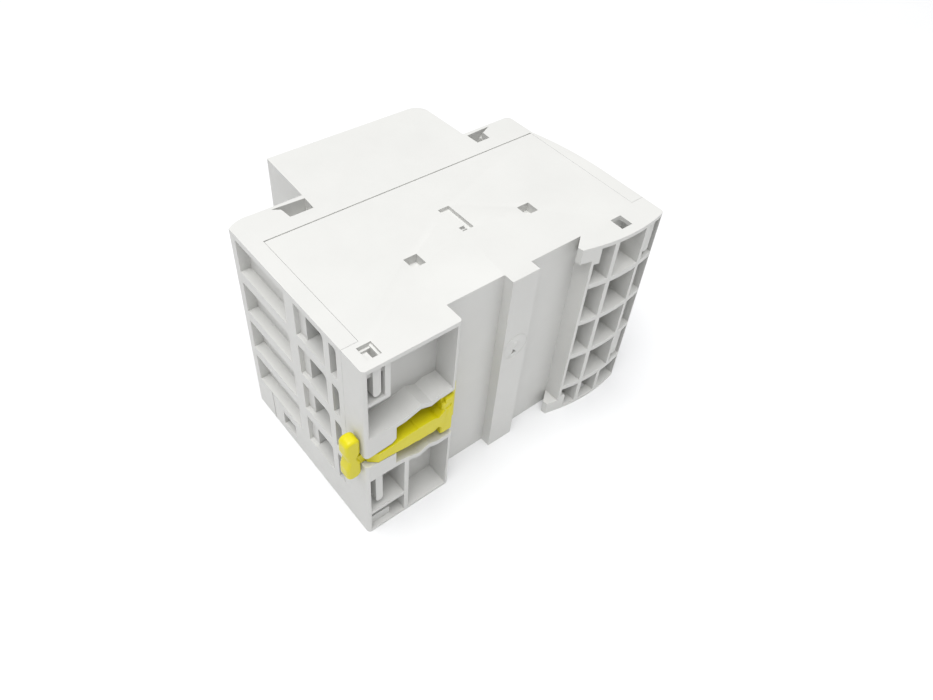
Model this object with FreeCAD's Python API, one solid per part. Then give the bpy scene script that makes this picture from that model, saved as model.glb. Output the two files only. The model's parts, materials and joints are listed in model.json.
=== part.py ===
import FreeCAD
import Part
import math
import os

# Four-pole modular contactor, three modules wide, lying on its left side wall.
#
# Bench frame, in millimetres: X runs from the fixed-hook end (0) to the clip end,
# Y from the seam between cover and base (0) towards the rail, and Z across the
# modules, from the wall it lies on (0) to the wall on top (WIDTH).  Every piece is
# built in this frame and moved once, by save(), so that the origin of the finished
# part is the middle of its underside.

# ---- housing envelope ---------------------------------------------------------
WIDTH = 54.0                 # three modules of 18 mm
LENGTH = 79.3                # fixed-hook end to clip end
NOSE_FRONT = -24.7           # front of the raised nose
SHOULDER_FRONT = -8.9        # front of the terminal shoulders
NOSE_X0 = 17.7
NOSE_X1 = 61.5
NOSE_TAPER = 0.6             # draft of each end of the nose
BLOCK_REAR = 39.8            # rear of the block that holds the rail clip
ARC_REAR = 40.6              # rearmost point of the rounded hook end
HOOK_END_SHIFT = 3.2         # how far the hook end steps in at the front

# ---- rail recess ----------------------------------------------------------------
RAIL_SEAT = 34.9
RECESS_HOOK = 21.5
RECESS_CLIP = 57.1           # 35.6 wide, for a 35 mm rail
RIB_X0 = 35.5
RIB_X1 = 42.6
RIB_TOP = 37.5
HOOK_LIP_WIDTH = 3.8         # each fixed hook stands at one side wall

# ---- walls and seams --------------------------------------------------------------
SIDE_WALL = 2.3
THIN_WALL = 1.4
SHOULDER_WALL = 1.8
CELL_WALL = 1.0              # outer walls of the open compartments
HOOK_WALL_X = 5.0            # inner face of the cover's wall at the hook end
COIL_CHAMBER_X0 = 19.0       # room for magnet and coil, between the two terminal rooms
COIL_CHAMBER_X1 = 60.0
PARTITION_X0 = 17.0
PARTITION_X1 = 62.0
COIL_TERMINAL_TOP = 7.6      # room of each coil terminal
COIL_TERMINAL_X = 71.5
SEAM = 0.3                   # long seam between cover and base
FINE_SEAM = 0.06             # seams of the end walls
TONGUE = 0.7                 # the base's tongue reaches this far past the long seam
TONGUE_Z0 = 0.3              # its distance from the side wall's face
TONGUE_Z1 = 1.6
SEAM_X0 = 3.6                # the cover's end walls wrap round the base from here
SEAM_X1 = 75.6
SEAM_REAR = 33.1
COIL_LAYER = 9.7             # lowest layer, which holds the coil terminals
CAVITY_REAR = 32.4
COMPARTMENT_FLOOR = 34.0
FAR = 100.0                  # beyond any face

# ---- poles ----------------------------------------------------------------------
POLES = 4
POLE_PITCH = 11.4
FIRST_POLE_Z = 14.1
POLE_Z = [FIRST_POLE_Z + POLE_PITCH * index for index in range(POLES)]
MIDDLE_Z = sum(POLE_Z) / POLES
MIDDLE_X = (RECESS_HOOK + RECESS_CLIP) / 2 + 0.1
CHAMBER_HALF = 4.6
CHAMBER_TOP = WIDTH - THIN_WALL
WINDOW_HALF = 4.25
WIRE_WINDOW_Y = 16.8
PARTITION_Z = [z + POLE_PITCH / 2 for z in POLE_Z[:-1]]

# ---- power terminals --------------------------------------------------------------
CAGE_HALF_X = 4.1
CAGE_HALF_Z = 4.1
CAGE_WALL = 0.9
CAGE_FRONT = 12.0
CAGE_HEAD = 2.4
CAGE_INNER_REAR = 27.0
CAGE_REAR = 28.4
CAGE_TRAVEL = 7.4            # from open to closed on the terminal bar
LOAD_X = 71.0                # terminal axis at the clip end
LINE_X = 9.6                 # terminal axis at the hook end
TONGUE_FRONT = 17.0
TONGUE_REAR = 19.3
BAR_HALF_Z = 2.8
BAR_FRONT = -3.2
BAR_THICK = 2.0
SCREW_HEAD_FRONT = 1.0
SCREW_HEAD_REAR = CAGE_FRONT - CAGE_TRAVEL - 0.4
SCREW_HEAD_R = 3.0
SCREW_R = 2.0
THREAD_CLEARANCE = 0.05
DRIVER_R = 3.4               # screwdriver shaft, open at the shoulder
DRIVER_TUBE_R = 4.3
DRIVER_LIP_R = 2.6

# ---- coil terminals -----------------------------------------------------------------
COIL_Z = 4.9
COIL_LOAD_X = 67.5
COIL_LINE_X = 11.3
COIL_CAGE_HALF = 2.4
COIL_CAGE_FRONT = -0.2
COIL_CAGE_REAR = 10.4
COIL_CAGE_TRAVEL = 4.6
COIL_HEAD_REAR = COIL_CAGE_FRONT - COIL_CAGE_TRAVEL - 0.5
COIL_HEAD_THICK = 1.6
COIL_DRIVER_R = 2.3
COIL_SCREW_R = 1.25
COIL_HEAD_R = 2.1
COIL_TONGUE_FRONT = 3.6
COIL_TONGUE_REAR = 4.4

# ---- magnet, in the closed and open gap ---------------------------------------------
STROKE = 2.95
MAGNET_HALF_X = 18.0
MAGNET_HALF_Z = 9.0
CORE_REAR = 31.4
CORE_BACK = 27.6
CORE_FACE = 12.0
ARMATURE_FACE = 9.0
ARMATURE_BACK = 5.0
ARMATURE_FRONT = 1.0
OUTER_LEG = 6.0
CENTRE_HALF = 5.5
BOBBIN_FRONT = 12.8
BOBBIN_REAR = 27.4
BOBBIN_HALF_Z = 17.0
FLANGE = 1.0
PIN_Y = 3.2                  # pin that hangs the armature in the carrier
PIN_R = 1.0

# ---- contact carrier ------------------------------------------------------------------
CARRIER_HALF_X = 4.0
CARRIER_FRONT = -20.0
CARRIER_REAR = -4.0
CARRIER_HALF_Z = 20.9
WINDOW_FRONT = -17.5
BRIDGE_FRONT = -10.0
BRIDGE_REAR = -8.4
BRIDGE_HALF_X = 16.6
TIP_X = 14.0                 # contact tips, each side of the middle
TIP_R = 2.4
TIP_THICK = 1.0
MOVING_TIP_REAR = BAR_FRONT - TIP_THICK - STROKE - 0.1
SPRING_ARM_Z = 12.0          # return springs, each side of the middle
SPRING_ARM_REAR = 7.0

# ---- rail clip ---------------------------------------------------------------------
CLIP_Z = WIDTH / 2
HEAD_X0 = 57.3
HEAD_X1 = 60.3
HEAD_HALF = 5.7
NOSE_TIP_X = 54.9            # how far the clip's nose reaches over the recess
SPINE_Z = 26.6               # the spine and the slot it runs in sit a little off the middle
SPINE_HALF = 1.95
SPINE_END_HALF = 1.35        # where it passes the outer end of the guide plates
CLIP_REAR = 40.0             # stands just proud of the block
CAM_WALL = 1.3
# half width of the clip's channel at stations along X, from the guide plates to the recess
CAM_PROFILE = ((72.0, 6.0), (69.8, 6.2), (66.0, 7.4), (63.4, 6.4), (61.3, 7.1),
               (60.4, 7.05), (57.1, 7.4))
GUIDE_X = 72.0
GUIDE_FRONT = 36.4
HANDLE_X0 = 79.45
HANDLE_X1 = 82.8
HANDLE_FRONT = 35.4
HANDLE_REAR = 38.5
HANDLE_Z = 27.9
HANDLE_HALF = 6.1
HANDLE_WAIST_X = 82.2        # outer waist between the two lobes
HANDLE_NOTCH_X = 80.4        # bottom of the notch that faces the wall

# ---- side wall details -------------------------------------------------------------
SQUARES = ((53.0, 20.0), (22.9, 20.1))       # low corners of the square pockets, XY
SQUARE = 3.2
CORNERS = ((73.8, 34.3), (9.2, 34.8))        # low corners of the stepped corner holes
CORNER_X = 3.1
CORNER_Y = 3.5
CORNER_STEP = 0.5
CORNER_DEPTH = 3.0
FOOT_SHALLOW = 1.9
FOOT_DEPTH = 3.4             # pockets at the foot of the nose

ORIGIN = FreeCAD.Vector(HANDLE_X1 / 2, (NOSE_FRONT + ARC_REAR) / 2, 0)


# ---- building blocks --------------------------------------------------------------------
def box(x0, x1, y0, y1, z0, z1):
    """A box between two values on each axis."""
    return Part.makeBox(x1 - x0, y1 - y0, z1 - z0, FreeCAD.Vector(x0, y0, z0))


def around(x, z, half_x, half_z, y0, y1):
    """A box centred on x and z, between two values of Y."""
    return box(x - half_x, x + half_x, y0, y1, z - half_z, z + half_z)


def rod_y(x, z, radius, y0, y1):
    """A round bar along Y."""
    return Part.makeCylinder(radius, y1 - y0, FreeCAD.Vector(x, y0, z), FreeCAD.Vector(0, 1, 0))


def rod_z(x, y, radius, z0, z1):
    """A round bar along Z."""
    return Part.makeCylinder(radius, z1 - z0, FreeCAD.Vector(x, y, z0), FreeCAD.Vector(0, 0, 1))


def prism(points, direction):
    """A polygon pushed along a vector."""
    wire = Part.makePolygon(list(points) + [points[0]])
    return Part.Face(wire).extrude(direction)


def prism_z(outline, z0, z1):
    """An (x, y) polygon between two heights."""
    points = [FreeCAD.Vector(x, y, z0) for x, y in outline]
    return prism(points, FreeCAD.Vector(0, 0, z1 - z0))


def prism_y(outline, y0, y1):
    """An (x, z) polygon between two values of Y."""
    points = [FreeCAD.Vector(x, y0, z) for x, z in outline]
    return prism(points, FreeCAD.Vector(0, y1 - y0, 0))


def join(shapes):
    """One solid from touching shapes."""
    return shapes[0].multiFuse(shapes[1:]).removeSplitter()


def carve(shape, tools):
    """The shape with every tool removed."""
    return shape.cut(tools)


def mirror_clip(shape):
    """The same shape on the other side of the clip's middle plane."""
    return shape.mirror(FreeCAD.Vector(0, 0, CLIP_Z), FreeCAD.Vector(0, 0, 1))


def rounded_window(x0, x1, y0, y1, z0, z1, radius):
    """A window along X whose corner at high Y and high Z is rounded."""
    tool = box(x0, x1, y0, y1, z0, z1)
    corner = box(x0, x1, y1 - radius, y1, z1 - radius, z1)
    round_bar = Part.makeCylinder(radius, x1 - x0, FreeCAD.Vector(x0, y1 - radius, z1 - radius),
                                  FreeCAD.Vector(1, 0, 0))
    return tool.cut(corner).fuse(round_bar).removeSplitter()


def save(name, shape):
    """Write one node, moved into the part's own frame."""
    moved = shape.copy()
    moved.translate(-ORIGIN)
    assert moved.isValid(), name
    moved.exportStep("parts/" + name + ".step")
    print(name, len(moved.Solids), "solids", round(moved.Volume, 1), "mm3")


# ---- outline of the side wall ------------------------------------------------------------
def side_outline():
    """The closed outline of the housing in XY."""
    shoulder_hook = SHOULDER_FRONT + 0.3
    path = [
        ("start", (HOOK_END_SHIFT + 1.5, shoulder_hook)),
        ("line", (NOSE_X0, shoulder_hook)),
        ("line", (NOSE_X0 + NOSE_TAPER, NOSE_FRONT + 3.7)),
        ("arc", (NOSE_X0 + 1.7, NOSE_FRONT + 1.1), (NOSE_X0 + 4.3, NOSE_FRONT)),
        ("line", (NOSE_X1 - NOSE_TAPER, NOSE_FRONT)),
        ("line", (NOSE_X1, SHOULDER_FRONT)),
        ("line", (73.5, SHOULDER_FRONT)),
        ("arc", (77.3, -8.5), (LENGTH, -7.4)),
        ("line", (LENGTH, BLOCK_REAR - 0.9)),
        ("arc", (LENGTH - 0.26, BLOCK_REAR - 0.26), (LENGTH - 0.9, BLOCK_REAR)),
        ("line", (RECESS_CLIP + 0.8, BLOCK_REAR)),
        ("arc", (RECESS_CLIP + 0.23, BLOCK_REAR - 0.23), (RECESS_CLIP, BLOCK_REAR - 0.8)),
        ("line", (RECESS_CLIP, RAIL_SEAT)),
        ("line", (RIB_X1, RAIL_SEAT)),
        ("line", (RIB_X1, RIB_TOP)),
        ("line", (RIB_X0, RIB_TOP)),
        ("line", (RIB_X0, RAIL_SEAT)),
        ("line", (RECESS_HOOK, RAIL_SEAT)),
        ("line", (RECESS_HOOK + 3.1, RAIL_SEAT + 2.4)),
        ("line", (RECESS_HOOK + 2.9, RAIL_SEAT + 3.7)),
        ("line", (20.0, ARC_REAR - 1.0)),
        ("arc", (10.2, ARC_REAR), (0.6, ARC_REAR - 1.1)),
        ("arc", (0.164, ARC_REAR - 1.459), (0.0, ARC_REAR - 2.0)),
        ("line", (0.0, 20.0)),
        ("arc", (0.9, 9.5), (HOOK_END_SHIFT - 0.2, 0.0)),
        ("line", (HOOK_END_SHIFT, shoulder_hook + 1.5)),
        ("arc", (HOOK_END_SHIFT + 0.45, shoulder_hook + 0.4), (HOOK_END_SHIFT + 1.5, shoulder_hook)),
    ]
    edges = []
    here = FreeCAD.Vector(*path[0][1], 0)
    for step in path[1:]:
        there = FreeCAD.Vector(*step[-1], 0)
        if step[0] == "line":
            edges.append(Part.makeLine(here, there))
        else:
            edges.append(Part.Arc(here, FreeCAD.Vector(*step[1], 0), there).toShape())
        here = there
    return Part.Wire(edges)


def envelope():
    """The whole housing as a solid block, hooks included."""
    block = Part.Face(side_outline()).extrude(FreeCAD.Vector(0, 0, WIDTH))
    between_hooks = box(RECESS_HOOK, RECESS_HOOK + 5, RAIL_SEAT, FAR,
                        HOOK_LIP_WIDTH, WIDTH - HOOK_LIP_WIDTH)
    return carve(block, [between_hooks])


# ---- base housing ------------------------------------------------------------------------
def hook_grid():
    """Open cells in the rear of the hook end."""
    columns = ((0.9, 5.3), (6.4, 14.8), (16.0, 20.8))
    low_columns = ((0.9, 8.2), (9.4, 14.8), (16.0, 20.8))
    rib = 0.65
    lines = [CELL_WALL - rib, PARTITION_Z[0] - POLE_PITCH] + PARTITION_Z + [WIDTH - CELL_WALL + rib]
    cells = []
    for row in range(len(lines) - 1):
        for x0, x1 in (low_columns if row == 0 else columns):
            cells.append(box(x0, x1, COMPARTMENT_FLOOR, FAR, lines[row] + rib, lines[row + 1] - rib))
    # the hooks' roots fill a corner of the cells beside them
    roots = join([box(19.5, 25.0, 0, FAR, z0, z0 + 5.0) for z0 in (0, WIDTH - 5.0)])
    return [cell.cut(roots) for cell in cells]


def grid_posts():
    """Round-backed posts in two cells of the outermost column."""
    posts = []
    for z0, z1 in ((PARTITION_Z[2] + 1.6, WIDTH - 2.0),
                   (PARTITION_Z[0] - POLE_PITCH + 1.6, PARTITION_Z[0] - 1.6)):
        posts.append(rounded_post(3.1, z0, z1, 39.4))
    return posts


def clip_channel():
    """The channel of the rail clip, open to the rear, with its two wavy walls."""
    upper = [(x, CLIP_Z + half) for x, half in CAM_PROFILE]
    lower = [(x, CLIP_Z - half) for x, half in reversed(CAM_PROFILE)]
    wavy = prism_y(upper + [(RECESS_CLIP - 1, upper[-1][1]), (RECESS_CLIP - 1, lower[0][1])] + lower,
                   COMPARTMENT_FLOOR + 0.2, FAR)
    half = CAM_PROFILE[0][1]
    inner = SPINE_HALF + 0.15
    outer = SPINE_END_HALF + 0.1
    slot_outline = ((GUIDE_X - 1, SPINE_Z + inner + 0.8), (GUIDE_X, SPINE_Z + inner + 0.8),
                    (GUIDE_X + 1.0, SPINE_Z + inner), (LENGTH + 1, SPINE_Z + outer),
                    (LENGTH + 1, SPINE_Z - outer), (GUIDE_X, SPINE_Z - inner), (GUIDE_X - 1, SPINE_Z - inner))
    under_guides = box(GUIDE_X - 1, LENGTH - 0.9, COMPARTMENT_FLOOR + 0.2, GUIDE_FRONT,
                       CLIP_Z - half, CLIP_Z + half)
    slot = prism_y(slot_outline, COMPARTMENT_FLOOR + 2.0, FAR)
    return [wavy, under_guides, slot]


def clip_block_compartments():
    """Open compartments above and below the clip's channel."""
    outer_x = LENGTH - 0.9
    recess_x = RECESS_CLIP + CELL_WALL
    above = [(x, CLIP_Z + half + CAM_WALL) for x, half in CAM_PROFILE[:-1]]
    above_profile = [(outer_x, above[0][1])] + above + [(recess_x, above[-1][1])]
    upper = prism_y(above_profile + [(recess_x, WIDTH - CELL_WALL), (outer_x, WIDTH - CELL_WALL)],
                    COMPARTMENT_FLOOR, FAR)
    lower_full = mirror_clip(prism_y(above_profile + [(recess_x, WIDTH + 5), (outer_x, WIDTH + 5)],
                                     COMPARTMENT_FLOOR, FAR))
    lower_space = box(0, FAR, 0, FAR, CELL_WALL, CLIP_Z)
    ribs = join([box(68.7, 69.8, 0, FAR, 0, CLIP_Z), box(69, FAR, 0, FAR, 7.0, 8.0)])
    x0, y0 = CORNERS[0]
    pads = [box(x0 - 0.8, x0 + CORNER_X + 0.8, 0, y0 + CORNER_Y + 0.8, z0, z0 + CORNER_DEPTH + 0.6)
            for z0 in (0, WIDTH - CORNER_DEPTH - 0.6)]
    return [upper.cut(pads[1]), lower_full.common(lower_space).cut(ribs).cut(pads[0])]


def rounded_post(x, z0, z1, rear):
    """A post 1.7 mm wide on a compartment's floor, its lower end rounded."""
    half = 0.85
    return join([box(x - half, x + half, COMPARTMENT_FLOOR - 0.5, rear, z0 + half, z1),
                 rod_y(x, z0 + half, half, COMPARTMENT_FLOOR - 0.5, rear)])


def post_frame(z0, z1, framed):
    """Post beside the end wall of the clip block, with a frame round it where framed."""
    post = rounded_post(75.9, z0 + 1.7, z1 - 1.0, 39.2)
    if not framed:
        return [post]
    side = box(73.1, 74.3, COMPARTMENT_FLOOR - 0.5, BLOCK_REAR - 0.4, z0, z1)
    foot = box(73.1, LENGTH - 0.5, COMPARTMENT_FLOOR - 0.5, BLOCK_REAR - 0.4, z0, z0 + 1.0)
    return [post, side, foot]


def side_wall_details(z_face, inward):
    """Pockets and slots in one side wall of the base; inward is +1 or -1 along Z."""
    def pocket(x0, x1, y0, y1, depth):
        z0, z1 = sorted((z_face - inward, z_face + inward * depth))
        return box(x0, x1, y0, y1, z0, z1)

    through = SIDE_WALL + 1
    squares = [pocket(x0, x0 + SQUARE, y0, y0 + SQUARE, through) for x0, y0 in SQUARES]
    # a C-shaped slot round a tab: a ledge, a narrow gap along the tab and a hole at its foot
    tab = pocket(39.4, 42.0, 13.1, 18.4, through)
    slot = pocket(37.95, 40.85, 11.35, 19.8, 0.9).cut(tab)
    slot_gaps = [pocket(39.0, 39.4, 12.4, 18.4, through), pocket(38.9, 40.6, 18.8, 19.6, through)]
    corners = []
    for x0, y0 in CORNERS:
        depth = CORNER_DEPTH if x0 > RECESS_CLIP else through
        corners.append(pocket(x0, x0 + CORNER_X, y0, y0 + CORNER_Y, 2 * CORNER_STEP))
        corners.append(pocket(x0 + CORNER_STEP, x0 + CORNER_X - CORNER_STEP,
                              y0 + CORNER_STEP, y0 + CORNER_Y - CORNER_STEP, depth))
    pin_z0, pin_z1 = sorted((z_face - inward, z_face + inward * through))
    pin_hole = rod_z(CORNERS[0][0] + CORNER_X - 0.8, CORNERS[0][1] + CORNER_Y - 1.1, 0.3, pin_z0, pin_z1)
    return squares + [slot] + slot_gaps + corners + [pin_hole]


def square_floors():
    """Thin plates that close the square pockets on the inside of both side walls."""
    plates = []
    for x0, y0 in SQUARES:
        for z0 in (SIDE_WALL - 0.2, WIDTH - SIDE_WALL - 0.8):
            plates.append(box(x0 - 1, x0 + SQUARE + 1, y0 - 1, y0 + SQUARE + 1, z0, z0 + 1.0))
    return plates


def base_rooms():
    """Rooms for the coil, the four terminals of each end and the two coil terminals."""
    panel_top = WIDTH - SIDE_WALL
    rooms = [box(COIL_CHAMBER_X0, COIL_CHAMBER_X1, -1, CAVITY_REAR, SIDE_WALL, panel_top)]
    for z in POLE_Z:
        z0 = max(z - CHAMBER_HALF, COIL_LAYER - FINE_SEAM / 2)
        z1 = min(z + CHAMBER_HALF, CHAMBER_TOP)
        rooms.append(box(-5, PARTITION_X0, -1, CAVITY_REAR, z0, z1))
        rooms.append(box(PARTITION_X1, FAR, -1, CAVITY_REAR, z0, z1))
    for x0, x1 in ((-5, HOOK_WALL_X + 0.2), (SEAM_X1 - FINE_SEAM / 2, FAR)):
        rooms.append(box(x0, x1, -1, SEAM_REAR + FINE_SEAM / 2, COIL_LAYER - FINE_SEAM / 2, panel_top))
    for x0, x1 in ((HOOK_WALL_X + 0.2, COIL_CHAMBER_X0 + 0.5), (COIL_CHAMBER_X1 - 0.5, COIL_TERMINAL_X)):
        rooms.append(box(x0, x1, -1, 14.0, SIDE_WALL, COIL_TERMINAL_TOP))
    for x0, x1 in ((-5, COIL_LINE_X - 1.5), (COIL_LOAD_X + 1.5, FAR)):
        rooms.append(box(x0, x1, 4.6, 10.0, COIL_Z - 2.1, COIL_Z + 2.1))
    return rooms


def seam_tongues(gap):
    """Tongues along the long seam in both side walls, or with a gap their grooves."""
    tongues = []
    for z0, z1 in ((TONGUE_Z0, TONGUE_Z1), (WIDTH - TONGUE_Z1, WIDTH - TONGUE_Z0)):
        tongues.append(box(SEAM_X0 + 1.0 - gap, SEAM_X1 - 1.0 + gap, -TONGUE - 2 * gap, 0.5 + gap,
                           z0 - gap, z1 + gap))
    return tongues


def base_housing():
    """Rear half of the housing: floor, side panels, rail seat, hooks and clip block."""
    half = FINE_SEAM / 2
    regions = [
        box(SEAM_X0 + half, SEAM_X1 - half, SEAM / 2, FAR, 0, WIDTH),
        box(-1, FAR, SEAM_REAR + half, FAR, 0, WIDTH),
        box(-1, FAR, SEAM / 2, FAR, 0, COIL_LAYER - half),
    ]
    body = envelope().common(join(regions))

    tools = base_rooms() + hook_grid() + clip_channel() + clip_block_compartments()
    tools += side_wall_details(WIDTH, -1) + side_wall_details(0, 1)
    body = carve(body, tools)

    # rail rib: a round mark with a small pin and a triangular hole in it
    mark_x = 39.0
    mark_z = 33.6
    pin = Part.makeSphere(1.2, FreeCAD.Vector(mark_x, RIB_TOP - 0.9, mark_z + 0.8))
    triangle = prism_y(((38.4, 31.6), (39.9, 31.4), (39.4, 32.8)), RIB_TOP - 2.0, RIB_TOP + 1)
    ring_outer = rod_y(mark_x, mark_z, 3.4, RIB_TOP - 0.06, RIB_TOP + 1)
    ring_inner = rod_y(mark_x, mark_z, 3.15, RIB_TOP - 1, RIB_TOP + 2)
    body = carve(body, [triangle, ring_outer.cut(ring_inner)])

    posts = post_frame(43.2, WIDTH - 0.6, True) + post_frame(8.0, 19.6, False) + grid_posts()
    return join([body, pin] + seam_tongues(0) + posts + square_floors())


# ---- front cover -------------------------------------------------------------------------
def end_windows():
    """Openings in the clip end's face, one row to a pole."""
    tools = []
    ledge = 1.0
    for z in POLE_Z:
        z0 = z - WINDOW_HALF
        z1 = z + WINDOW_HALF
        tools.append(box(LENGTH - 2.4, FAR, -5.3, 13.3, z0, z1))
        tools.append(box(LENGTH - ledge, FAR, WIRE_WINDOW_Y, TONGUE_REAR + 0.5, z0, z1))
        tools.append(rounded_window(SEAM_X1 - 1, FAR, TONGUE_REAR, 27.0, z0, z1, 1.2))
        tools.append(rounded_window(SEAM_X1 - 1, FAR, 29.0, 31.3, z0, z1, 0.9))
        tools.append(box(-1, 0.9 + ledge, WIRE_WINDOW_Y, TONGUE_REAR + 0.5, z0, z1))
        tools.append(box(-1, 6.0, TONGUE_REAR, 27.0, z0, z1))
        tools.append(box(-1, 6.0, 29.0, 31.3, z0, z1))
    return tools


def driver_tubes(radius, y0, y1):
    """Round bars on the terminal axes of both ends."""
    return [rod_y(x, z, radius, y0, y1) for x in (LINE_X, LOAD_X) for z in POLE_Z]


def front_cover():
    """Front half of the housing: nose, shoulders, end walls and partitions."""
    half = FINE_SEAM / 2
    regions = [
        box(-1, FAR, -FAR, -SEAM / 2, 0, WIDTH),
        box(SEAM_X1 + half, FAR, -1, SEAM_REAR - half, COIL_LAYER + half, WIDTH),
        box(-1, SEAM_X0 - half, -1, SEAM_REAR - half, COIL_LAYER + half, WIDTH),
        box(-1, HOOK_WALL_X, -1, SEAM_REAR - half, COIL_LAYER + half, WIDTH - SIDE_WALL - 0.2),
    ]
    body = envelope().common(join(regions))

    # a room for the carrier, then one layer of rooms to the coil terminals and one to each pole
    layers = [(SIDE_WALL, COIL_TERMINAL_TOP, COIL_TERMINAL_X)]
    for z in POLE_Z:
        layers.append((z - CHAMBER_HALF, min(z + CHAMBER_HALF, WIDTH - SIDE_WALL), SEAM_X1 + half))
    rooms = [box(MIDDLE_X - CARRIER_HALF_X - 0.6, MIDDLE_X + CARRIER_HALF_X + 0.6,
                 NOSE_FRONT + SHOULDER_WALL, 1, COIL_LAYER - 0.5, CHAMBER_TOP)]
    for z0, z1, end_x in layers:
        rooms.append(box(NOSE_X0 + SIDE_WALL, NOSE_X1 - SIDE_WALL, NOSE_FRONT + SHOULDER_WALL, 1, z0, z1))
        rooms.append(box(NOSE_X1 - 3, end_x, SHOULDER_FRONT + SHOULDER_WALL, 1, z0, z1))
        rooms.append(box(HOOK_WALL_X + 0.4, NOSE_X0 + 3, SHOULDER_FRONT + 0.3 + SHOULDER_WALL, 1, z0, z1))
    body = carve(body, rooms)

    tubes = [tube.common(box(-1, FAR, -FAR, FAR, 8.0, WIDTH - 0.5))
             for tube in driver_tubes(DRIVER_TUBE_R, SHOULDER_FRONT + 1, -SEAM / 2)]
    foot_floors = [box(x0, x1, SHOULDER_FRONT + 0.5, BAR_FRONT - 0.3,
                       WIDTH - FOOT_DEPTH - 0.8, WIDTH - FOOT_DEPTH + 0.1)
                   for x0, x1 in ((60.6, 68.2), (12.6, 18.2))]
    body = join([body] + tubes + foot_floors)
    tools = driver_tubes(DRIVER_R, -FAR, -1.0) + driver_tubes(DRIVER_LIP_R, -FAR, 2)
    tools += [rod_y(x, COIL_Z, COIL_DRIVER_R, -FAR, -6.5) for x in (COIL_LINE_X, COIL_LOAD_X)]
    tools += end_windows() + seam_tongues(0.05)
    # pockets at the foot of the nose in both side walls, behind a thin lip that runs out in a point
    for z0, z1 in ((-1, FOOT_SHALLOW), (WIDTH - FOOT_DEPTH, WIDTH + 1)):
        tools.append(prism_z(((61.6, -7.7), (67.5, -8.0), (67.6, -7.0), (67.3, -3.9), (61.8, -3.9)), z0, z1))
        tools.append(prism_z(((17.3, -7.5), (17.1, -3.9), (13.4, -3.9), (13.2, -7.7)), z0, z1))
    for z0, z1 in ((-1, FOOT_SHALLOW), (WIDTH - FOOT_SHALLOW, WIDTH + 1)):
        tools.append(prism_z(((67.0, -8.0), (69.3, -8.1), (67.6, -7.0), (67.0, -7.0)), z0, z1))
        tools.append(prism_z(((13.4, -7.7), (10.4, -7.8), (13.2, -6.5)), z0, z1))
    # indicator window and label recess in the nose
    tools.append(around(MIDDLE_X, MIDDLE_Z, 3.5, 3.5, NOSE_FRONT - 1, NOSE_FRONT + 3))
    tools.append(box(46.0, 58.0, NOSE_FRONT - 1, NOSE_FRONT + 0.5, 12.0, 42.0))
    return carve(body, tools)


def indicator_lens():
    """Clear pane in the nose's indicator window."""
    return around(MIDDLE_X, MIDDLE_Z, 3.4, 3.4, NOSE_FRONT + 0.2, NOSE_FRONT + 1.5)


def marking_label():
    """Blank marking plate in the nose."""
    return box(46.1, 57.9, NOSE_FRONT, NOSE_FRONT + 0.45, 12.1, 41.9)


# ---- rail clip ---------------------------------------------------------------------------
def handle():
    """Pull of the rail clip: two rounded lobes with a waist, notched where its stem enters."""
    half = [(HANDLE_NOTCH_X, 0), (HANDLE_X0, 1.6), (HANDLE_X0, HANDLE_HALF),
            (HANDLE_X1, HANDLE_HALF), (HANDLE_X1, 2.4), (HANDLE_WAIST_X, 0)]
    upper = [(x, HANDLE_Z + z) for x, z in half]
    lower = [(x, HANDLE_Z - z) for x, z in half[-2:0:-1]]
    pull = prism_y(upper + lower, HANDLE_FRONT, HANDLE_REAR)
    sides = [edge for edge in pull.Edges if abs(edge.tangentAt(edge.FirstParameter).y) > 0.9]
    corners = [edge for edge in sides if abs(edge.BoundBox.ZMin - HANDLE_Z) > HANDLE_HALF - 0.1]
    pull = pull.makeFillet(1.4, corners)
    sides = [edge for edge in pull.Edges if abs(edge.tangentAt(edge.FirstParameter).y) > 0.9
             and abs(edge.BoundBox.ZMin - HANDLE_Z) < 3.0]
    pull = pull.makeFillet(1.2, sides)
    rims = [edge for edge in pull.Edges if edge.BoundBox.YLength < 0.01]
    return pull.makeFillet(0.7, rims)


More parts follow.
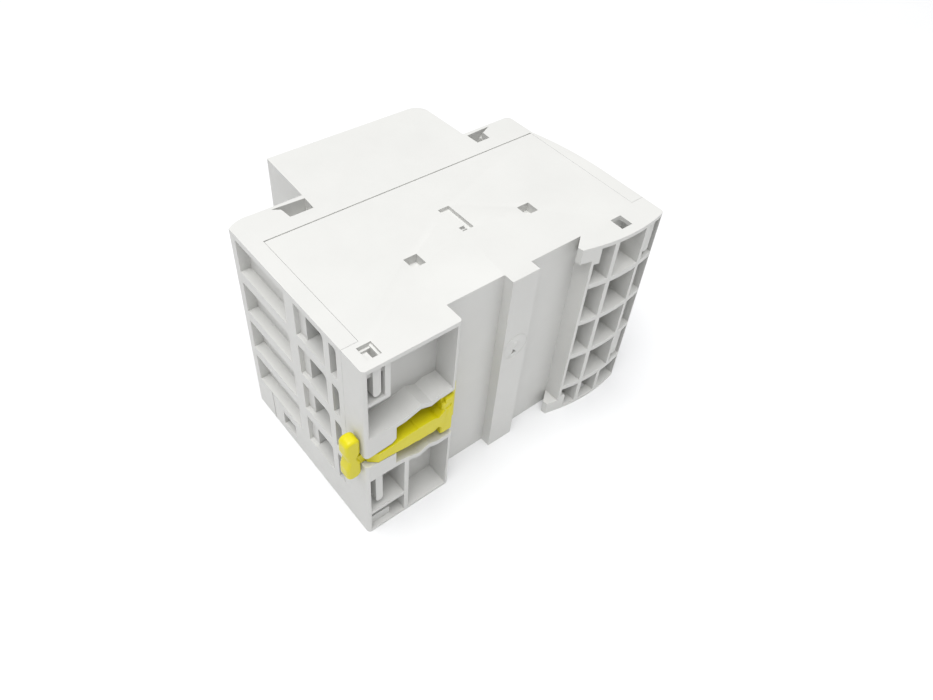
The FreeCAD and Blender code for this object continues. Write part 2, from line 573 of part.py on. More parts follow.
def rail_clip():
    """Sliding clip: hooking nose, head, spine, wings under the guide plates, and pull."""
    spine_front = GUIDE_FRONT - 0.3
    # side view of the spine, sloping down to the stem at its outer end
    side_view = prism_z(((HEAD_X0, spine_front), (78.2, spine_front), (78.2, HANDLE_REAR),
                         (76.4, CLIP_REAR), (HEAD_X0, CLIP_REAR)), 0, WIDTH)
    # rear view: fishtail neck, a step, and the taper between the guide plates
    half = ((HEAD_X1 - 0.5, 2.9), (61.4, 1.6), (62.6, 2.15), (66.8, 2.15), (66.8, SPINE_HALF),
            (69.0, SPINE_HALF), (74.0, SPINE_END_HALF), (78.2, SPINE_END_HALF))
    rear_view = prism_y([(x, SPINE_Z + z) for x, z in half] + [(x, SPINE_Z - z) for x, z in reversed(half)],
                        0, FAR)
    spine = side_view.common(rear_view)
    stem = box(77.8, HANDLE_NOTCH_X + 0.4, COMPARTMENT_FLOOR + 2.1, HANDLE_REAR - 0.5,
               SPINE_Z - SPINE_END_HALF, SPINE_Z + SPINE_END_HALF)
    head = box(HEAD_X0, HEAD_X1, RAIL_SEAT + 0.4, BLOCK_REAR - 0.1, CLIP_Z - HEAD_HALF, CLIP_Z + HEAD_HALF)
    rear_edges = [edge for edge in head.Edges if edge.BoundBox.YMin > BLOCK_REAR - 0.2]
    head = head.makeChamfer(0.35, rear_edges)
    step = box(HEAD_X1 - 0.8, HEAD_X1 + 1, BLOCK_REAR - 0.9, FAR, CLIP_Z + HEAD_HALF - 1.4, WIDTH)
    ejector_mark = rod_y((HEAD_X0 + HEAD_X1) / 2, CLIP_Z + 3.0, 0.8, BLOCK_REAR - 0.25, FAR)
    nose = prism_z(((HEAD_X0 + 1, RAIL_SEAT + 1.2), (NOSE_TIP_X + 0.5, RAIL_SEAT + 1.2),
                    (NOSE_TIP_X, RAIL_SEAT + 1.6), (NOSE_TIP_X, RAIL_SEAT + 2.2),
                    (HEAD_X0 + 1, RAIL_SEAT + 2.9)), CLIP_Z - HEAD_HALF, CLIP_Z + HEAD_HALF)
    wings = box(66.0, 75.0, COMPARTMENT_FLOOR + 0.4, GUIDE_FRONT - 0.2, CLIP_Z - 4.2, CLIP_Z + 4.2)
    arm_outline = ((66.5, 3.2), (66.5, 4.2), (63.2, 4.6), (62.2, 5.6), (61.3, 4.6), (62.2, 3.6))
    arm = prism_y([(x, CLIP_Z + half) for x, half in arm_outline],
                  COMPARTMENT_FLOOR + 0.4, GUIDE_FRONT - 0.4)
    return join([spine, stem, carve(head, [step, ejector_mark]), nose, wings, arm, mirror_clip(arm),
                 handle()])


# ---- magnet ------------------------------------------------------------------------------
def e_stack(back0, back1, face):
    """E-shaped lamination stack between its back and its pole faces."""
    y0, y1 = sorted((back1, face))
    legs = []
    for x0, x1 in ((-MAGNET_HALF_X, OUTER_LEG - MAGNET_HALF_X), (-CENTRE_HALF, CENTRE_HALF),
                   (MAGNET_HALF_X - OUTER_LEG, MAGNET_HALF_X)):
        legs.append(box(MIDDLE_X + x0, MIDDLE_X + x1, y0, y1,
                        MIDDLE_Z - MAGNET_HALF_Z, MIDDLE_Z + MAGNET_HALF_Z))
    back = around(MIDDLE_X, MIDDLE_Z, MAGNET_HALF_X, MAGNET_HALF_Z, *sorted((back0, back1)))
    return join([back] + legs)


def ring_boxes(side, grow):
    """Outer and inner box of one shading ring, set in an outer pole face."""
    x = MIDDLE_X + side * (MAGNET_HALF_X - OUTER_LEG / 2)
    outer = around(x, MIDDLE_Z, 2.2 + grow, 6.2 + grow, CORE_FACE - 1, CORE_FACE + 1.2 + grow)
    inner = around(x, MIDDLE_Z, 1.2 - grow, 5.2 - grow, CORE_FACE - 2, CORE_FACE + 3)
    return outer, inner


def magnet_core():
    """Fixed core, grooved for the shading rings."""
    core = e_stack(CORE_REAR, CORE_BACK, CORE_FACE)
    grooves = []
    for side in (-1, 1):
        outer, inner = ring_boxes(side, 0.05)
        grooves.append(outer.cut(inner))
    return carve(core, grooves)


def shading_rings():
    """Two copper rings in the outer pole faces."""
    rings = []
    for side in (-1, 1):
        outer, inner = ring_boxes(side, 0)
        rings.append(outer.cut(inner).common(box(0, FAR, CORE_FACE, FAR, 0, WIDTH)))
    return Part.makeCompound(rings)


def coil_bobbin():
    """Plastic spool round the centre leg."""
    bore_x = CENTRE_HALF + 0.3
    bore_z = MAGNET_HALF_Z + 0.3
    tube = around(MIDDLE_X, MIDDLE_Z, bore_x + 0.8, bore_z + 0.8, BOBBIN_FRONT, BOBBIN_REAR)
    half_x = MAGNET_HALF_X - OUTER_LEG - 0.3
    front = around(MIDDLE_X, MIDDLE_Z, half_x, BOBBIN_HALF_Z, BOBBIN_FRONT, BOBBIN_FRONT + FLANGE)
    rear = around(MIDDLE_X, MIDDLE_Z, half_x, BOBBIN_HALF_Z, BOBBIN_REAR - FLANGE, BOBBIN_REAR)
    bore = around(MIDDLE_X, MIDDLE_Z, bore_x, bore_z, BOBBIN_FRONT - 1, BOBBIN_REAR + 1)
    return join([tube, front, rear]).cut(bore)


def coil_winding():
    """Copper winding between the spool's flanges."""
    half_x = MAGNET_HALF_X - OUTER_LEG - 0.8
    block = around(MIDDLE_X, MIDDLE_Z, half_x, BOBBIN_HALF_Z - 0.8,
                   BOBBIN_FRONT + FLANGE + 0.05, BOBBIN_REAR - FLANGE - 0.05)
    edges = [edge for edge in block.Edges if abs(edge.tangentAt(edge.FirstParameter).y) > 0.9]
    block = block.makeFillet(3.0, edges)
    hole = around(MIDDLE_X, MIDDLE_Z, CENTRE_HALF + 1.15, MAGNET_HALF_Z + 1.15, 0, FAR)
    return block.cut(hole)


def core_cushion():
    """Elastic pad between the core and the housing floor."""
    return around(MIDDLE_X, MIDDLE_Z, MAGNET_HALF_X - 1, MAGNET_HALF_Z - 1, CORE_REAR, CAVITY_REAR)


def armature():
    """Moving core, shown released, bored for the pin that hangs it in the carrier."""
    stack = e_stack(ARMATURE_FRONT, ARMATURE_BACK, ARMATURE_FACE)
    return stack.cut(rod_z(MIDDLE_X, PIN_Y, PIN_R + 0.05, 0, WIDTH))


def armature_pin():
    """Pin through the armature and both arms of the carrier."""
    reach = SPRING_ARM_Z + 1.8
    return rod_z(MIDDLE_X, PIN_Y, PIN_R, MIDDLE_Z - reach, MIDDLE_Z + reach)


# ---- springs -----------------------------------------------------------------------------
def coil_spring(x, z, y0, y1, radius, wire, turns):
    """Helical compression spring along Y."""
    length = y1 - y0 - wire
    helix = Part.makeHelix(length / turns, length, radius)
    start = FreeCAD.Vector(radius, 0, 0)
    slope = FreeCAD.Vector(0, 2 * math.pi * radius, length / turns)
    section = Part.Wire([Part.makeCircle(wire / 2, start, slope)])
    spring = Part.Wire(helix.Edges).makePipeShell([section], True, True)
    spring.rotate(FreeCAD.Vector(0, 0, 0), FreeCAD.Vector(1, 0, 0), -90)
    spring.translate(FreeCAD.Vector(x, y0 + wire / 2, z))
    return spring


def return_springs():
    """Two springs that push the carrier away from the coil."""
    return Part.makeCompound([
        coil_spring(MIDDLE_X, MIDDLE_Z + side * SPRING_ARM_Z, SPRING_ARM_REAR + 0.05, BOBBIN_FRONT - 0.05,
                    2.0, 0.6, 3) for side in (-1, 1)])


def contact_springs():
    """One spring to a bridge, pressing it onto the carrier."""
    return Part.makeCompound([
        coil_spring(MIDDLE_X, z, WINDOW_FRONT + 0.05, BRIDGE_FRONT - 0.05, 2.0, 0.55, 5) for z in POLE_Z])


# ---- carrier and contacts ----------------------------------------------------------------
def contact_carrier():
    """Insulating carrier that links the armature to the four contact bridges."""
    body = around(MIDDLE_X, MIDDLE_Z, CARRIER_HALF_X, CARRIER_HALF_Z, CARRIER_FRONT, CARRIER_REAR)
    windows = [around(MIDDLE_X, z, CARRIER_HALF_X + 1, BAR_HALF_Z + 0.3, WINDOW_FRONT, BRIDGE_REAR + 0.05)
               for z in POLE_Z]
    body = carve(body, windows)
    arms = []
    for side in (-1, 1):
        z = MIDDLE_Z + side * SPRING_ARM_Z
        arms.append(around(MIDDLE_X, z, CARRIER_HALF_X, 2.2, CARRIER_REAR - 0.5, SPRING_ARM_REAR))
    bore = rod_z(MIDDLE_X, PIN_Y, PIN_R + 0.05, 0, WIDTH)
    return join([body] + arms).cut(bore)


def indicator_flag():
    """Coloured flag on the carrier, seen through the lens."""
    return around(MIDDLE_X, MIDDLE_Z, 2.0, 2.0, CARRIER_FRONT - 2.3, CARRIER_FRONT)


def contact_bridge(z):
    """Moving bridge of one pole, its ends rounded."""
    bar = around(MIDDLE_X, z, BRIDGE_HALF_X, BAR_HALF_Z, BRIDGE_FRONT, BRIDGE_REAR)
    edges = [edge for edge in bar.Edges if abs(edge.tangentAt(edge.FirstParameter).y) > 0.9]
    return bar.makeFillet(1.0, edges)


def moving_tips():
    """Silver tips under both ends of every bridge."""
    return Part.makeCompound([
        rod_y(MIDDLE_X + side * TIP_X, z, TIP_R, BRIDGE_REAR, MOVING_TIP_REAR)
        for z in POLE_Z for side in (-1, 1)])


def fixed_tips():
    """Silver tips on the inner end of every terminal bar."""
    return Part.makeCompound([
        rod_y(MIDDLE_X + side * TIP_X, z, TIP_R, BAR_FRONT - TIP_THICK, BAR_FRONT)
        for z in POLE_Z for side in (-1, 1)])


def terminal_bar(z, inner_x, leg_x0, leg_x1, end_x):
    """Stepped copper bar from a fixed tip through its terminal cage."""
    outward = 1 if end_x > inner_x else -1
    x0, x1 = sorted((inner_x, leg_x1 if outward > 0 else leg_x0))
    inner = box(x0, x1, BAR_FRONT, BAR_FRONT + BAR_THICK, z - BAR_HALF_Z, z + BAR_HALF_Z)
    leg = box(leg_x0, leg_x1, BAR_FRONT, TONGUE_REAR, z - BAR_HALF_Z, z + BAR_HALF_Z)
    x0, x1 = sorted((leg_x0 if outward > 0 else leg_x1, end_x))
    tongue = box(x0, x1, TONGUE_FRONT, TONGUE_REAR, z - BAR_HALF_Z, z + BAR_HALF_Z)
    return join([inner, leg, tongue])


def terminal_cage(x, z):
    """Rising cage clamp, open along X, threaded for its screw."""
    block = around(x, z, CAGE_HALF_X, CAGE_HALF_Z, CAGE_FRONT, CAGE_REAR)
    space = around(x, z, CAGE_HALF_X + 1, CAGE_HALF_Z - CAGE_WALL, CAGE_FRONT + CAGE_HEAD, CAGE_INNER_REAR)
    thread = rod_y(x, z, SCREW_R + THREAD_CLEARANCE, 0, CAGE_FRONT + CAGE_HEAD + 1)
    return carve(block, [space, thread])


def slotted_screw(x, z, head_r, shank_r, head_front, head_rear, tip):
    """Terminal screw with a cross slot, its head to the front."""
    head = rod_y(x, z, head_r, head_front, head_rear)
    shank = rod_y(x, z, shank_r, head_rear - 0.5, tip)
    slot_x = around(x, z, head_r + 1, 0.45, head_front - 1, head_front + 1.1)
    slot_z = around(x, z, 0.45, head_r * 0.62, head_front - 1, head_front + 1.1)
    return carve(join([head, shank]), [slot_x, slot_z])


def terminal_screw(x, z):
    """Screw of one power terminal."""
    return slotted_screw(x, z, SCREW_HEAD_R, SCREW_R, SCREW_HEAD_FRONT, SCREW_HEAD_REAR,
                         TONGUE_FRONT - 0.05)


# ---- coil terminals ----------------------------------------------------------------------
def coil_screw(x):
    """Screw of one coil terminal."""
    return slotted_screw(x, COIL_Z, COIL_HEAD_R, COIL_SCREW_R, COIL_HEAD_REAR - COIL_HEAD_THICK,
                         COIL_HEAD_REAR, COIL_TONGUE_FRONT - 0.05)


def coil_cage(x):
    """Cage clamp of one coil terminal."""
    block = around(x, COIL_Z, 2.6, COIL_CAGE_HALF, COIL_CAGE_FRONT, COIL_CAGE_REAR)
    space = around(x, COIL_Z, 4, COIL_CAGE_HALF - 0.5, COIL_CAGE_FRONT + 1.4, COIL_CAGE_REAR - 1)
    thread = rod_y(x, COIL_Z, COIL_SCREW_R + THREAD_CLEARANCE, COIL_CAGE_FRONT - 1, COIL_CAGE_FRONT + 2)
    return carve(block, [space, thread])


def coil_strip(x0, x1):
    """Metal strip from a coil terminal's cage towards the coil."""
    return box(x0, x1, COIL_TONGUE_FRONT, COIL_TONGUE_REAR, COIL_Z - 1.7, COIL_Z + 1.7)


def lead(points, radius):
    """Thin wire through a list of points."""
    pieces = []
    for start, end in zip(points, points[1:]):
        a = FreeCAD.Vector(*start)
        b = FreeCAD.Vector(*end)
        pieces.append(Part.makeCylinder(radius, (b - a).Length, a, b - a))
        pieces.append(Part.makeSphere(radius, b))
    return join(pieces)


def coil_leads():
    """Two wires from the strips to the winding's front flange."""
    leads = []
    for side in (-1, 1):
        x = MIDDLE_X + side * 14.5
        flange_x = MIDDLE_X + side * 10.0
        leads.append(lead([(x, COIL_TONGUE_REAR + 0.35, COIL_Z), (x, 9.0, 9.0), (flange_x, 15.5, 12.5),
                           (flange_x, 17.0, MIDDLE_Z - BOBBIN_HALF_Z + 0.3)], 0.35))
    return Part.makeCompound(leads)


# ---- all nodes ---------------------------------------------------------------------------
def main():
    os.makedirs("parts", exist_ok=True)
    save("base_housing", base_housing())
    save("front_cover", front_cover())
    save("indicator_lens", indicator_lens())
    save("marking_label", marking_label())
    save("rail_clip", rail_clip())
    save("magnet_core", magnet_core())
    save("core_cushion", core_cushion())
    save("shading_rings", shading_rings())
    save("coil_bobbin", coil_bobbin())
    save("coil_winding", coil_winding())
    save("coil_leads", coil_leads())
    save("armature", armature())
    save("armature_pin", armature_pin())
    save("contact_carrier", contact_carrier())
    save("indicator_flag", indicator_flag())
    save("return_springs", return_springs())
    save("contact_springs", contact_springs())
    save("moving_tips", moving_tips())
    save("fixed_tips", fixed_tips())
    for number, z in enumerate(POLE_Z, start=1):
        pole = "_" + str(number)
        save("contact_bridge" + pole, contact_bridge(z))
        save("load_bar" + pole, terminal_bar(z, 49.0, 64.5, 66.5, 75.3))
        save("line_bar" + pole, terminal_bar(z, 29.8, 14.1, 16.1, 5.3))
        save("load_screw" + pole, terminal_screw(LOAD_X, z))
        save("line_screw" + pole, terminal_screw(LINE_X, z))
        save("load_cage" + pole, terminal_cage(LOAD_X, z))
        save("line_cage" + pole, terminal_cage(LINE_X, z))
    for name, x, strip in (("a1", COIL_LINE_X, (7.5, 25.5)), ("a2", COIL_LOAD_X, (53.3, 71.0))):
        save("coil_screw_" + name, coil_screw(x))
        save("coil_cage_" + name, coil_cage(x))
        save("coil_strip_" + name, coil_strip(*strip))


main()
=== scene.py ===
import json
import math

import bmesh
import bpy
from mathutils import Matrix, Vector


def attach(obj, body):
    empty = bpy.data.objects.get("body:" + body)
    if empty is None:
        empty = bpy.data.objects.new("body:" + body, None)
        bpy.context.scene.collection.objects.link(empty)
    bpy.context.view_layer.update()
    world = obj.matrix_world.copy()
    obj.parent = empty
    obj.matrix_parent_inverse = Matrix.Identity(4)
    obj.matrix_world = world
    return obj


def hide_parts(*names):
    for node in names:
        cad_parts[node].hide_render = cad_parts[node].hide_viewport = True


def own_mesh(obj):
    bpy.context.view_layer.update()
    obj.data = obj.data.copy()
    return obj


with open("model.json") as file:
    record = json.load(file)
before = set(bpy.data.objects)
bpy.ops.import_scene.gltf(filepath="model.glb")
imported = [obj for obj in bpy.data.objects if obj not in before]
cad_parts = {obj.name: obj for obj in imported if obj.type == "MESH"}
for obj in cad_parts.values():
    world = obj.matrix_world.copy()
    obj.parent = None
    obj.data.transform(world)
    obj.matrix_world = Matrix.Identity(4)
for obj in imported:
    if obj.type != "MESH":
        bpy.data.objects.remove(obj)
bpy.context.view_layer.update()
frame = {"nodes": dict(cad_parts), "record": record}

MM = 0.001
FULL_TURN = 2 * math.pi
NODES = frame["nodes"]
scene = bpy.context.scene


# ---- node materials --------------------------------------------------------------------
NOISE_LOW = 0.3                 # nearly all of a noise texture lies between these two values
NOISE_HIGH = 0.7
WAVE_PHASE = 20                 # radians a wave texture turns through per unit, at scale 1


class Shader:
    """A Principled material with object coordinates in millimetres."""

    def __init__(self, name, roughness, metallic=0.0):
        self.material = bpy.data.materials.new(name)
        self.material.use_nodes = True
        self.tree = self.material.node_tree
        self.tree.nodes.clear()
        self.output = self.add("ShaderNodeOutputMaterial")
        self.bsdf = self.add("ShaderNodeBsdfPrincipled")
        self.bsdf.inputs["Roughness"].default_value = roughness
        self.bsdf.inputs["Metallic"].default_value = metallic
        self.link(self.bsdf.outputs["BSDF"], self.output.inputs["Surface"])
        coords = self.add("ShaderNodeTexCoord")
        scale = self.add("ShaderNodeVectorMath")
        scale.operation = "SCALE"
        scale.inputs["Scale"].default_value = 1 / MM
        self.link(coords.outputs["Object"], scale.inputs[0])
        self.millimetres = scale.outputs["Vector"]

    def add(self, kind):
        return self.tree.nodes.new(kind)

    def link(self, source, target):
        self.tree.links.new(source, target)

    def noise(self, size, detail=3.0, rough=0.55, stretch=(1, 1, 1)):
        """Noise with features of a size in millimetres."""
        mapping = self.add("ShaderNodeMapping")
        mapping.inputs["Scale"].default_value = stretch
        self.link(self.millimetres, mapping.inputs["Vector"])
        node = self.add("ShaderNodeTexNoise")
        node.inputs["Scale"].default_value = 1 / size
        node.inputs["Detail"].default_value = detail
        node.inputs["Roughness"].default_value = rough
        self.link(mapping.outputs["Vector"], node.inputs["Vector"])
        return node.outputs["Fac"]

    def ridges(self, pitch, axis):
        """Parallel ridges across one axis, a pitch in millimetres apart."""
        node = self.add("ShaderNodeTexWave")
        node.wave_type = "BANDS"
        node.bands_direction = axis
        node.wave_profile = "SIN"
        node.inputs["Scale"].default_value = FULL_TURN / WAVE_PHASE / pitch
        node.inputs["Distortion"].default_value = 0.0
        self.link(self.millimetres, node.inputs["Vector"])
        return node.outputs["Fac"]

    def spread(self, source, low, high):
        """A noise value spread over low..high."""
        node = self.add("ShaderNodeMapRange")
        node.inputs["From Min"].default_value = NOISE_LOW
        node.inputs["From Max"].default_value = NOISE_HIGH
        node.inputs["To Min"].default_value = low
        node.inputs["To Max"].default_value = high
        self.link(source, node.inputs["Value"])
        return node.outputs["Result"]

    def colours(self, source, first, second):
        """Base colour between two colours, by a noise value."""
        node = self.add("ShaderNodeValToRGB")
        ends = zip(node.color_ramp.elements, (NOISE_LOW, NOISE_HIGH), (first, second))
        for element, position, colour in ends:
            element.position = position
            element.color = (*colour, 1)
        self.link(source, node.inputs["Fac"])
        self.link(node.outputs["Color"], self.bsdf.inputs["Base Color"])

    def roughness(self, source, low, high):
        """Roughness between two values, by a noise value."""
        self.link(self.spread(source, low, high), self.bsdf.inputs["Roughness"])

    def bump(self, source, height, strength=1.0):
        """Bump of a height in millimetres, stacked on any bump made before."""
        node = self.add("ShaderNodeBump")
        node.inputs["Strength"].default_value = strength
        node.inputs["Distance"].default_value = height * MM
        self.link(source, node.inputs["Height"])
        before = self.bsdf.inputs["Normal"]
        if before.is_linked:
            self.link(before.links[0].from_socket, node.inputs["Normal"])
        self.link(node.outputs["Normal"], self.bsdf.inputs["Normal"])

    def constant(self, socket, value):
        """One number or colour, the same all over the surface."""
        self.bsdf.inputs[socket].default_value = value


def shade(colour, factor):
    """A colour made darker or lighter."""
    return tuple(min(1.0, c * factor) for c in colour)


def moulded(name, colour, roughness, grain, specular=0.5):
    """Moulded plastic: spark-eroded grain, faint flow marks and uneven sheen."""
    s = Shader(name, roughness)
    s.colours(s.noise(size=14.0, detail=4.0), shade(colour, 0.975), shade(colour, 1.012))
    s.roughness(s.noise(size=2.2, detail=4.0), roughness - 0.05, roughness + 0.05)
    s.bump(s.noise(size=0.22, detail=2.0), grain)
    s.bump(s.noise(size=9.0, detail=1.0), height=0.02, strength=0.5)
    s.constant("Specular IOR Level", specular)
    return s.material


def drawn_metal(name, colour, roughness, stretch, scratch=0.006):
    """Metal with fine lines along one axis and slight tarnish."""
    s = Shader(name, roughness, metallic=1.0)
    s.colours(s.noise(size=3.0, detail=5.0), shade(colour, 0.86), shade(colour, 1.06))
    lines = s.noise(size=0.35, detail=3.0, rough=0.6, stretch=stretch)
    s.roughness(lines, roughness - 0.08, roughness + 0.10)
    s.bump(lines, scratch)
    return s.material


def laminated(name, colour):
    """Stacked electrical steel, the edges of its sheets showing along Z."""
    s = Shader(name, roughness=0.45, metallic=1.0)
    s.colours(s.noise(size=1.6, detail=5.0), shade(colour, 0.7), shade(colour, 1.1))
    s.bump(s.ridges(pitch=0.5, axis="Z"), height=0.05)
    s.bump(s.noise(size=0.3), height=0.008)
    return s.material


def wound(name, first, second, pitch):
    """Enamelled wire in side by side turns along Y."""
    s = Shader(name, roughness=0.28, metallic=1.0)
    s.colours(s.noise(size=2.5, detail=4.0), first, second)
    s.bump(s.ridges(pitch, axis="Y"), height=0.08)
    s.bump(s.noise(size=1.2), height=0.02)
    s.constant("Coat Weight", 0.5)
    return s.material


def elastomer(name, colour):
    """Dull moulded rubber."""
    s = Shader(name, roughness=0.75)
    s.colours(s.noise(size=1.0, detail=5.0), shade(colour, 0.7), shade(colour, 1.4))
    s.bump(s.noise(size=0.15), height=0.01)
    return s.material


def clear_plastic(name):
    """Polished clear plastic with a faint ripple."""
    s = Shader(name, roughness=0.06)
    s.colours(s.noise(size=6.0, detail=2.0), (0.93, 0.95, 0.96), (0.98, 0.99, 1.0))
    s.roughness(s.noise(size=1.5), 0.04, 0.10)
    s.bump(s.noise(size=3.0, detail=2.0), height=0.004)
    s.constant("Transmission Weight", 0.92)
    s.constant("IOR", 1.58)
    return s.material


def floor_material():
    """Pale paper sweep, bright enough to lose its edges."""
    s = Shader("studio_floor", roughness=0.9)
    s.colours(s.noise(size=60.0), (0.70, 0.703, 0.71), (0.72, 0.723, 0.73))
    s.bump(s.noise(size=0.6), height=0.01)
    s.constant("Emission Color", (1, 1, 1, 1))
    s.constant("Emission Strength", 0.10)
    return s.material


GREY = (0.615, 0.615, 0.598)
YELLOW = (0.65, 0.58, 0.003)
ALONG_X = (0.05, 1, 1)          # stretch of the drawn lines
ALONG_Y = (1, 0.1, 1)
EVEN = (1, 1, 1)

MATERIALS = {
    "housing": moulded("housing_plastic", GREY, 0.50, 0.007),
    "clip_plastic": moulded("clip_yellow", YELLOW, 0.40, 0.004, specular=0.45),
    "magnet_steel": laminated("laminated_steel", (0.42, 0.43, 0.45)),
    "cushion": elastomer("cushion_rubber", (0.02, 0.02, 0.02)),
    "bobbin_plastic": moulded("bobbin_black", (0.022, 0.022, 0.024), 0.42, 0.006),
    "winding": wound("enamelled_copper", (0.62, 0.24, 0.08), (0.74, 0.33, 0.13), 0.28),
    "copper": drawn_metal("bare_copper", (0.80, 0.42, 0.27), 0.34, ALONG_X),
    "tinned": drawn_metal("tinned_copper", (0.70, 0.69, 0.65), 0.38, ALONG_X),
    "silver": drawn_metal("silver_alloy", (0.83, 0.82, 0.79), 0.30, EVEN),
    "zinc_steel": drawn_metal("zinc_steel", (0.62, 0.63, 0.64), 0.32, ALONG_Y),
    "spring_steel": drawn_metal("spring_steel", (0.50, 0.50, 0.51), 0.28, EVEN, 0.003),
    "carrier_plastic": moulded("carrier_dark", (0.035, 0.031, 0.027), 0.48, 0.006),
    "flag_plastic": moulded("flag_orange", (0.75, 0.10, 0.02), 0.35, 0.004),
    "clear": clear_plastic("clear_pane"),
    "label": moulded("label_white", (0.86, 0.86, 0.84), 0.36, 0.003),
}
SLOT_OF = {row["node"]: row["material_slot"] for row in frame["record"]["subparts"]}


# ---- CAD nodes: materials, and a small radius on sharp edges where the slot has one ------
EDGE_RADIUS = {                 # millimetres, by material slot
    "housing": 0.11,
    "clip_plastic": 0.22,
    "label": 0.08,
    "clear": 0.12,
    "carrier_plastic": 0.25,
    "bobbin_plastic": 0.18,
    "zinc_steel": 0.12,
    "copper": 0.12,
    "tinned": 0.12,
    "flag_plastic": 0.12,
    "cushion": 0.2,
}
EDGE_ANGLE = 26                 # degrees between two faces, above which their edge is rounded
EDGE_STEPS = 2
WELD_GAP = 0.002                # millimetres
FLAT_FACE_WEIGHT = 100          # large faces alone decide the normals beside rounded edges


def round_edges(obj, radius):
    """Weld the imported triangles, then bevel the sharp edges."""
    weld = obj.modifiers.new("weld", "WELD")
    weld.merge_threshold = WELD_GAP * MM
    bevel = obj.modifiers.new("edges", "BEVEL")
    bevel.width = radius * MM
    bevel.segments = EDGE_STEPS
    bevel.limit_method = "ANGLE"
    bevel.angle_limit = math.radians(EDGE_ANGLE)
    bevel.use_clamp_overlap = True
    bevel.harden_normals = False
    bevel.miter_outer = "MITER_ARC"


def smooth(mesh):
    for polygon in mesh.polygons:
        polygon.use_smooth = True


def keep_faces_flat(obj):
    """Shade flat faces flat beside their rounded edges."""
    normals = obj.modifiers.new("normals", "WEIGHTED_NORMAL")
    normals.keep_sharp = False
    normals.weight = FLAT_FACE_WEIGHT


def dress(obj, slot):
    """Material and edge radius of one CAD node."""
    obj.data.materials.clear()
    obj.data.materials.append(MATERIALS[slot])
    if slot in EDGE_RADIUS:
        round_edges(obj, EDGE_RADIUS[slot])
    smooth(obj.data)
    keep_faces_flat(obj)


for node_name, slot_name in SLOT_OF.items():
    dress(NODES[node_name], slot_name)


# ---- return springs, made at one fixed length --------------------------------------------
ORIGIN = Vector((41.4, 7.95, 0.0))      # of the frame, in the CAD source's millimetres
SPRING_X = 39.4
SPRING_Z = (19.2, 43.2)
SPRING_Y0 = 7.05
SPRING_Y1 = 12.75
SPRING_RADIUS = 2.0
SPRING_WIRE = 0.6
SPRING_TURNS = 3.0
SPRING_END_TURNS = 0.7                  # flat part of each end
SPRING_EASE = 0.25                      # share of the rise that starts and stops gently
SPRING_STEPS = 150
SPRING_SIDES = 14


def in_frame(point):
    """A point of the CAD source in the frame's metres."""
    return (point - ORIGIN) * MM


def spring_rings(x, z):
    """Rings of points along one helix whose end turns lie flat, as on a ground spring."""
    total = SPRING_TURNS + 2 * SPRING_END_TURNS
    low = SPRING_Y0 + SPRING_WIRE / 2
    rise = SPRING_Y1 - SPRING_Y0 - SPRING_WIRE
    rings = []
    for step in range(SPRING_STEPS + 1):
        turn = total * step / SPRING_STEPS
        share = min(max((turn - SPRING_END_TURNS) / SPRING_TURNS, 0.0), 1.0)
        eased = share * share * (3 - 2 * share)
        share = eased * SPRING_EASE + share * (1 - SPRING_EASE)
        angle = turn * FULL_TURN
        outward = Vector((math.cos(angle), 0, math.sin(angle)))
        centre = Vector((x, low + rise * share, z)) + outward * SPRING_RADIUS
        ring = []
        for side in range(SPRING_SIDES):
            around = side / SPRING_SIDES * FULL_TURN
            offset = outward * math.cos(around) + Vector((0, 1, 0)) * math.sin(around)
            ring.append(in_frame(centre + offset * SPRING_WIRE / 2))
        rings.append(ring)
    return rings


def tube_from(mesh, rings):
    """A closed tube through rings of points."""
    rows = [[mesh.verts.new(point) for point in ring] for ring in rings]
    count = len(rows[0])
    for first, second in zip(rows, rows[1:]):
        for side in range(count):
            after = (side + 1) % count
            mesh.faces.new((first[side], first[after], second[after], second[side]))
    mesh.faces.new(rows[0])
    mesh.faces.new(list(reversed(rows[-1])))


def make_springs():
    """Both return springs as one piece."""
    shape = bmesh.new()
    for z in SPRING_Z:
        tube_from(shape, spring_rings(SPRING_X, z))
    bmesh.ops.recalc_face_normals(shape, faces=shape.faces)
    mesh = bpy.data.meshes.new("return_spring_coils")
    shape.to_mesh(mesh)
    shape.free()
    smooth(mesh)
    springs = bpy.data.objects.new("return_spring_coils", mesh)
    scene.collection.objects.link(springs)
    mesh.materials.append(MATERIALS["spring_steel"])
    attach(springs, "housing")
    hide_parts("return_springs")
    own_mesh(springs)


make_springs()


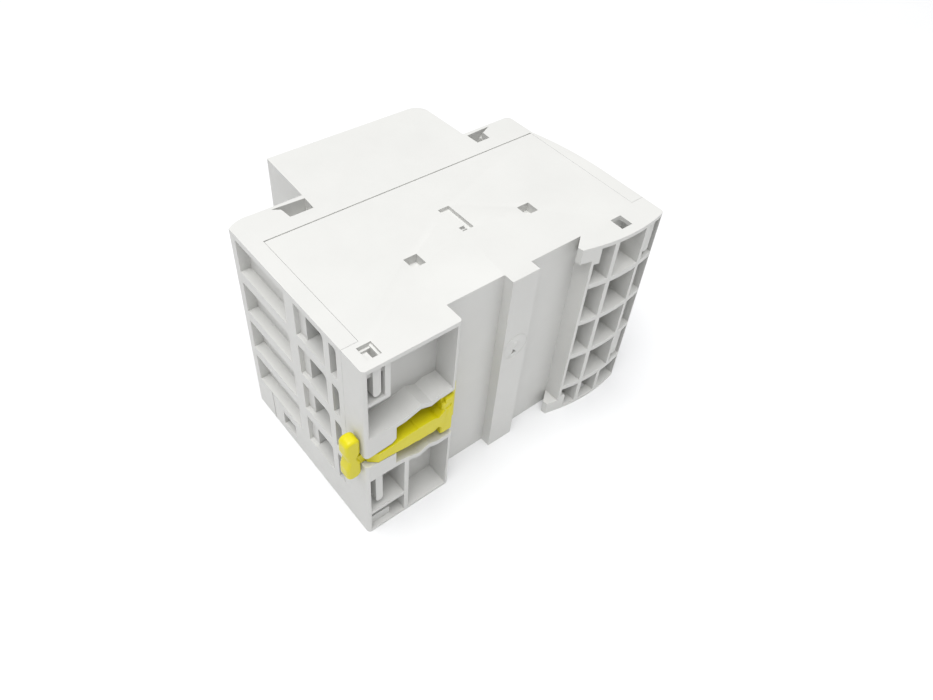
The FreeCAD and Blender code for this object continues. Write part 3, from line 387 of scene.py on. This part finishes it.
# ---- stage, light and camera, in metres and watts ----------------------------------------
WHITE = (1, 1, 1, 1)
FLOOR_HALF = 4.0
WORLD_STRENGTH = 0.33
LIGHT_TARGET = Vector((0, 0, 0.03))
LIGHTS = (                      # name, place, diameter, power
    ("key", (0.325, 0.122, 1.49), 1.5, 32.0),
    ("fill", (-0.5, 0.6, 0.35), 0.6, 0.5),
)
CAMERA_PLACE = Vector((0.0841, 0.10495, 0.1544))
CAMERA_FORWARD = Vector((-0.4695, -0.4901, -0.7344))
CAMERA_RIGHT = Vector((-0.7713, 0.6325, 0.0710))
CAMERA_SENSOR = 36.0            # millimetres
CAMERA_LENS = 29.8              # millimetres
CAMERA_CLIP = (0.005, 50.0)


def make_floor():
    mesh = bpy.data.meshes.new("floor")
    corners = [(x * FLOOR_HALF, y * FLOOR_HALF, 0) for x, y in ((-1, -1), (1, -1), (1, 1), (-1, 1))]
    mesh.from_pydata(corners, [], [(0, 1, 2, 3)])
    floor = bpy.data.objects.new("floor", mesh)
    scene.collection.objects.link(floor)
    mesh.materials.append(floor_material())


def make_world():
    world = bpy.data.worlds.new("studio")
    world.use_nodes = True
    background = world.node_tree.nodes["Background"]
    background.inputs["Color"].default_value = WHITE
    background.inputs["Strength"].default_value = WORLD_STRENGTH
    scene.world = world


def soft_light(name, place, size, power):
    """A round area light aimed at the part."""
    data = bpy.data.lights.new(name, "AREA")
    data.shape = "DISK"
    data.size = size
    data.energy = power
    light = bpy.data.objects.new(name, data)
    scene.collection.objects.link(light)
    light.location = place
    light.rotation_euler = (LIGHT_TARGET - Vector(place)).to_track_quat("-Z", "Y").to_euler()


def make_camera():
    """Camera above the clip end, looking down at the rear corner."""
    forward = CAMERA_FORWARD.normalized()
    right = (CAMERA_RIGHT - forward * CAMERA_RIGHT.dot(forward)).normalized()
    up = right.cross(forward)
    data = bpy.data.cameras.new("camera")
    data.sensor_width = CAMERA_SENSOR
    data.lens = CAMERA_LENS
    data.clip_start, data.clip_end = CAMERA_CLIP
    camera = bpy.data.objects.new("camera", data)
    scene.collection.objects.link(camera)
    rotation = Matrix((right, up, -forward)).transposed()
    camera.matrix_world = Matrix.Translation(CAMERA_PLACE) @ rotation.to_4x4()
    scene.camera = camera


make_floor()
make_world()
for light_row in LIGHTS:
    soft_light(*light_row)
make_camera()
scene.view_settings.view_transform = "Standard"
